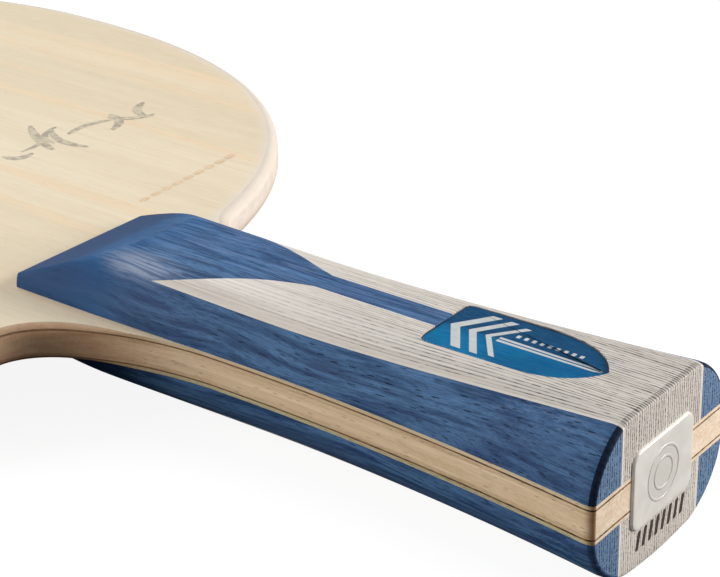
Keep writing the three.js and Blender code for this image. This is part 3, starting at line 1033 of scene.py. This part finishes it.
def make_badge():
    """A rounded plate with a soft edge and two low raised rings."""
    half_width = badge_high[0]
    half_height = badge_high[2]
    thickness = BUTT_Y - badge_low[1]
    corner = 1.8 * MM
    profile = (
        (0.0, 0.0),
        (0.01, 0.3),
        (0.04, 0.55),
        (0.09, 0.76),
        (0.16, 0.9),
        (0.25, 0.98),
        (0.34, 1.0),
        (1.2, 1.0),
    )
    rings = []
    for inset, height in profile:
        inset *= MM
        radius = max(corner - inset, 0.5 * MM)
        outline = rounded_rectangle(half_width - inset, half_height - inset, radius)
        y = np.full(len(outline), BUTT_Y - height * thickness)
        rings.append(np.column_stack([outline[:, 0], y, outline[:, 1]]))
    vertices, faces = loft(rings)
    plastic = badge_plastic()
    badge = make_object("butt_badge", vertices, faces, [plastic])
    stand_for(badge, "butt_badge")
    for name, radius in (("badge_ring_outer", BADGE_DISC_RADIUS), ("badge_ring_inner", 2.2 * MM)):
        ring = raised_ring(name, radius, 0.22 * MM, BUTT_Y - thickness, plastic)
        add_trim(ring)


def raised_ring(name, radius, half_width, face_y, material):
    """A low half-round ring standing on the badge's face."""
    around = 72
    across = 8
    height = 0.07 * MM
    rings = []
    for turn in np.linspace(0, 2 * math.pi, around, endpoint=False):
        points = []
        for angle in np.linspace(0, math.pi, across):
            r = radius + half_width * math.cos(angle)
            y = face_y - height * math.sin(angle)
            points.append((r * math.cos(turn), y, r * math.sin(turn)))
        rings.append(np.array(points))
    vertices = np.concatenate(rings)
    faces = []
    for i in range(around):
        j = (i + 1) % around
        for k in range(across):
            m = (k + 1) % across
            faces.append((i * across + k, i * across + m, j * across + m, j * across + k))
    return make_object(name, vertices, faces, [material])


def make_burned_ticks():
    """A row of equal burned strokes under the badge."""
    count = 8
    first_x = -5.1
    pitch = 1.55
    row_z = -7.7 * MM
    lean = 0.2
    depths = (BUTT_Y + 0.1 * MM, BUTT_Y - 0.02 * MM)
    stroke = rounded_rectangle(0.37 * MM, 1.4 * MM, 0.3 * MM, 3)
    strokes = []
    for i in range(count):
        x = (first_x + pitch * i) * MM + stroke[:, 0] + lean * stroke[:, 1]
        z = row_z + stroke[:, 1]
        strokes.append(loft([np.column_stack([x, np.full(len(x), y), z]) for y in depths]))
    ticks = make_object("burned_ticks", *joined(strokes), [burned_mark()])
    add_trim(ticks)


# ---- marks on the front face ----
def ribbon(path, half_widths, lift):
    """A flat stroke along a path, lying on the front face."""
    step = np.gradient(path, axis=0)
    normals = np.column_stack([-step[:, 1], step[:, 0]])
    normals /= np.linalg.norm(normals, axis=1)[:, None]
    vertices = []
    for side in (1, -1):
        edge = path + side * normals * half_widths[:, None]
        vertices.append(at_height(edge, BAND_TOP + lift))
    count = len(path)
    faces = [(i + count, i + count + 1, i + 1, i) for i in range(count - 1)]
    return np.concatenate(vertices), faces


def add_strokes(name, strokes, material):
    """Several strokes as one piece, each a little above the one before."""
    lowest = 0.01
    step = 0.004
    ribbons = [
        ribbon(path, half_widths, (lowest + step * number) * MM)
        for number, (path, half_widths) in enumerate(strokes)
    ]
    piece = make_object(name, *joined(ribbons), [material])
    add_trim(piece)


def arc_stroke(start_x, start_y, end_x, end_y, bow, half_width):
    """A bowed pen stroke that thins towards its ends, placed from the shoulder, in millimetres."""
    t = np.linspace(0, 1, 25)[:, None]
    start = np.array([start_x, start_y])
    end = np.array([end_x, end_y])
    across = np.array([-(end - start)[1], (end - start)[0]])
    path = start * (1 - t) + end * t + across * bow * 4 * t * (1 - t)
    path = (path + np.array([0, SHOULDER_Y / MM])) * MM
    widths = half_width * MM * (0.35 + 0.65 * np.sin(math.pi * t[:, 0]) ** 0.7)
    return path, widths


def make_face_marks():
    """Plain pen strokes and a row of faint dashes, which spell nothing."""
    pen = ink("pen_ink", srgb(206, 192, 166), srgb(168, 157, 138))
    strokes = [
        arc_stroke(19.5, 36.6, 23.4, 33.4, -0.3, 0.8),
        arc_stroke(22.6, 35.4, 30.2, 37.4, -0.14, 0.5),
        arc_stroke(31.6, 42.2, 26.4, 31.6, -0.06, 0.85),
        arc_stroke(28.4, 33.4, 33.8, 38.2, 0.24, 0.55),
        arc_stroke(32.4, 38.0, 30.6, 27.6, -0.16, 0.7),
        arc_stroke(32.6, 34.2, 41.6, 32.4, 0.12, 0.6),
        arc_stroke(38.2, 29.4, 43.2, 34.6, -0.2, 0.75),
        arc_stroke(42.0, 33.8, 47.6, 28.2, -0.14, 0.65),
        arc_stroke(46.0, 28.6, 50.6, 33.4, 0.2, 0.75),
    ]
    add_strokes("pen_strokes", strokes, pen)
    faint = ink("faint_ink", srgb(227, 200, 166), srgb(220, 190, 152))
    dashes = [arc_stroke(19 + 2.6 * i, 5.3, 21.1 + 2.6 * i, 5.3, 0.0, 0.6) for i in range(9)]
    add_strokes("faint_dashes", dashes, faint)


# ---- stage ----
def add_floor():
    half = 2.0
    z = -HANDLE_TOP - BACK_CROWN - 0.2 * MM
    vertices = np.array([(-half, -half, z), (half, -half, z), (half, half, z), (-half, half, z)])
    floor = make_object("floor", vertices, [(0, 1, 2, 3)], [pale_floor()])


def add_light(name, direction, distance, size, power, colour):
    data = bpy.data.lights.new(name, "AREA")
    data.shape = "DISK"
    data.size = size
    data.energy = power
    data.color = colour
    light = bpy.data.objects.new(name, data)
    light.location = Vector(direction).normalized() * distance
    light.rotation_euler = (-light.location).to_track_quat("-Z", "Y").to_euler()
    bpy.context.scene.collection.objects.link(light)


def add_lights():
    world = bpy.data.worlds.new("studio")
    world.use_nodes = True
    background = world.node_tree.nodes["Background"]
    background.inputs["Color"].default_value = (1, 1, 1, 1)
    background.inputs["Strength"].default_value = 0.2
    bpy.context.scene.world = world
    add_light("back_top", (0.2, 0.7, 0.7), 1.1, 0.8, 6.5, (0.84, 0.94, 1.0))
    add_light("right", (0.6, -0.75, 0.3), 1.0, 0.6, 13.5, (1.0, 0.98, 0.97))
    add_light("left_back", (-0.68, 0.68, 0.25), 1.0, 0.6, 9.0, (1.0, 0.94, 0.9))


def add_camera():
    """The camera's place, from its azimuth, elevation and roll round a point beside the handle."""
    azimuth = math.radians(-52.015)
    elevation = math.radians(26.664)
    roll = math.radians(-1.453)
    distance = 318.9 * MM
    target = Vector((18.88 * MM, SHOULDER_Y - 38.23 * MM, 0))
    back = Vector((
        math.sin(azimuth) * math.cos(elevation),
        -math.cos(azimuth) * math.cos(elevation),
        math.sin(elevation),
    ))
    right = Vector((math.cos(azimuth), math.sin(azimuth), 0))
    up = back.cross(right)
    rolled_right = right * math.cos(roll) + up * math.sin(roll)
    rolled_up = up * math.cos(roll) - right * math.sin(roll)
    data = bpy.data.cameras.new("camera")
    data.lens = 108.6
    data.clip_start = 0.01
    camera = bpy.data.objects.new("camera", data)
    turn = Matrix((rolled_right, rolled_up, back)).transposed().to_4x4()
    camera.matrix_world = Matrix.Translation(target + back * distance) @ turn
    bpy.context.scene.collection.objects.link(camera)
    bpy.context.scene.camera = camera


def make_plies():
    pale = pale_veneer()
    pale_side = tan_wood("pale_side", srgb(222, 206, 176), srgb(194, 174, 140))
    olive_side = tan_wood("olive_side", srgb(196, 190, 148), srgb(164, 156, 116))
    core = tan_wood("core_wood", srgb(240, 218, 184), srgb(208, 180, 144))
    tan = tan_wood("tan_wood", srgb(222, 198, 162), srgb(184, 154, 118))
    tan_end = tan_wood("tan_end", srgb(224, 208, 188), srgb(204, 184, 160), end=True)
    fibre = fibre_resin()
    for side, veneer_side in (("front", pale_side), ("back", olive_side)):
        make_ply(f"{side}_face_veneer", veneer_side, pale, tan_end)
        make_ply(f"{side}_fibre_layer", fibre, fibre, fibre)
        make_ply(f"{side}_inner_veneer", tan, tan, tan_end)
    make_ply("core", core, core, tan_end)


def make_handle():
    blue = blue_wood()
    # Copies with painted shade for the butt's rounded edge: nearly black on the front chamfer.
    blue_chamfer = blue_wood("blue_wood_shaded_chamfer", painted_shade=0.88)
    blue_end = blue_wood("blue_wood_end", end_grain=True)
    grey = grey_wood()
    grey_edge = grey_wood("grey_wood_shaded_edge", edge=True)
    grey_end = grey_wood("grey_wood_end", end=True)
    # Painted shade for the back scale's butt edge.
    blue_back_edge = blue_wood("blue_wood_shaded_back_edge", painted_shade=0.4)
    for side, edge in (("front", blue_chamfer), ("back", blue_back_edge)):
        make_scale(side, (blue, edge, blue_end), (grey, grey_edge, grey_end))


add_camera()
add_lights()
add_floor()
make_plies()
make_handle()
make_medallion()
make_badge()
make_burned_ticks()
make_face_marks()
bpy.context.scene.view_settings.view_transform = "Standard"
